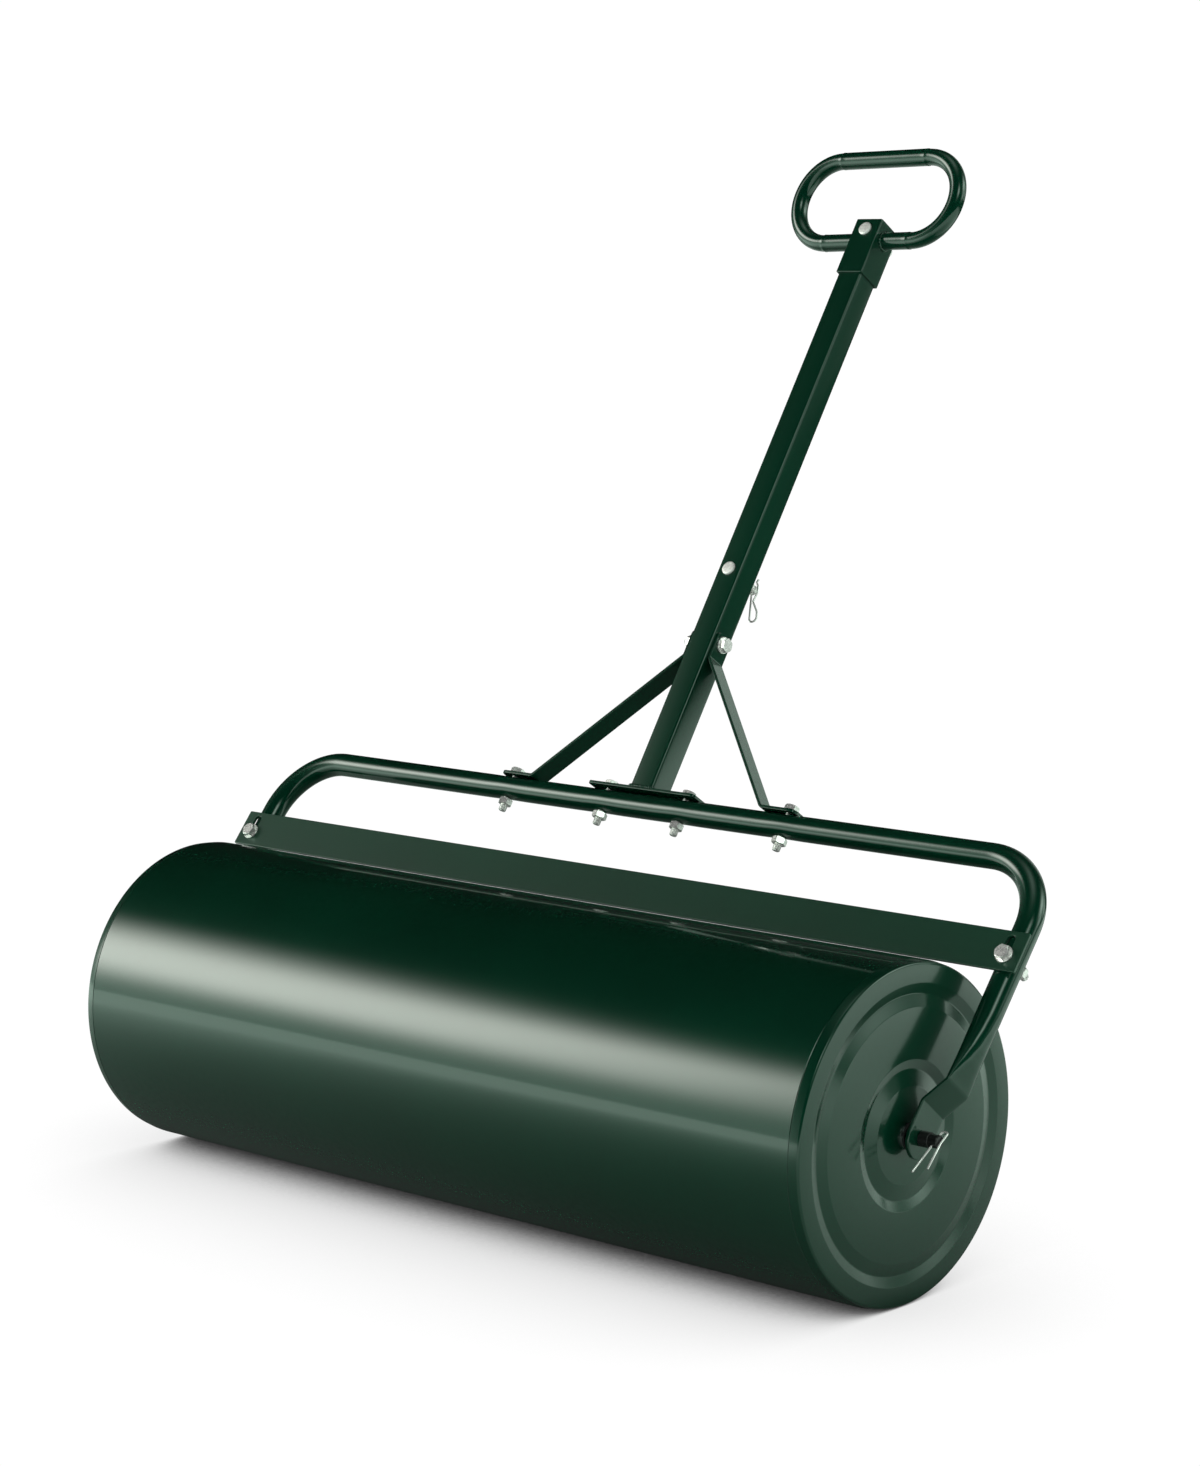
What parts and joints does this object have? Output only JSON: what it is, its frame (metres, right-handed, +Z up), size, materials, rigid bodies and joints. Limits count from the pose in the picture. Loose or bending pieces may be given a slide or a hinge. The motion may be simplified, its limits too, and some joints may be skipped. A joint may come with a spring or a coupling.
{
  "type": "lawn roller",
  "caption": "Push and pull lawn roller: a water-filled steel drum turning in a tubular frame, with an adjustable scraper bar, a square draw bar on bent braces and an oval hand loop.",
  "frame": {"origin": "on the ground, under the middle of the drum's axle", "axes": "+X along the drum's axle, +Y to the side the handle leans to (the scraper is on the front, seen from -Y), +Z up"},
  "size_m": [1.004, 0.7284, 1.0138],
  "materials": {
    "green_paint": "gloss enamel",
    "green_paint_drum": "high gloss enamel",
    "black_metal": "satin black",
    "zinc": "bright zinc plate",
    "bare_steel": "brushed",
    "nylon": "matt black nylon",
    "plug_plastic": "moulded black",
    "gasket_rubber": "matt"
  },
  "bodies": {
    "frame": {"frame_tube": "green_paint", "axle_rod": "black_metal", "thrust_washers": "nylon", "axle_collars": "black_metal", "axle_clips": "zinc", "base_plate": "green_paint", "draw_bar": "green_paint", "brace_right": "green_paint", "brace_left": "green_paint", "rail_bolts": "zinc", "rail_nuts": "zinc", "cross_bolt": "zinc", "cross_washers": "zinc", "cross_nut": "zinc", "grip_sleeve": "green_paint", "handle_loop": "green_paint", "scraper_washers": "zinc", "scraper_bolts": "zinc", "scraper_nuts": "zinc"},
    "drum": {"drum_shell": "green_paint_drum", "end_cap_right": "green_paint_drum", "end_cap_left": "green_paint_drum", "hub_tube": "bare_steel", "bush_right": "nylon", "bush_left": "nylon", "filler_neck": "green_paint_drum"},
    "plug": {"filler_plug": "plug_plastic", "filler_gasket": "gasket_rubber"},
    "scraper": {"scraper_plate": "green_paint"},
    "hitch_pin": {"hitch_pin": "zinc", "hitch_pin_clip": "zinc"},
    "grip_pin": {"grip_pin": "zinc", "grip_pin_clip": "zinc"}
  },
  "joints": [
    {"name": "drum_spin", "type": "hinge", "parent": "frame", "child": "drum", "pos_m": [0, 0, 0.1524], "axis": [1, 0, 0], "continuous": true},
    {"name": "scraper_adjust", "type": "slide", "parent": "frame", "child": "scraper", "axis": [0, 0.628, 0.7782], "range_m": [-0.009, 0.003]},
    {"name": "filler_plug_out", "type": "slide", "parent": "drum", "child": "plug", "axis": [-1, 0, 0], "range_m": [0, 0.03]},
    {"name": "hitch_pin_turn", "type": "hinge", "parent": "frame", "child": "hitch_pin", "pos_m": [0, 0.31682, 0.5871], "axis": [0, 0.8381, -0.5455], "continuous": true},
    {"name": "grip_pin_turn", "type": "hinge", "parent": "frame", "child": "grip_pin", "pos_m": [0, 0.53524, 0.92268], "axis": [0, 0.8381, -0.5455], "continuous": true}
  ]
}
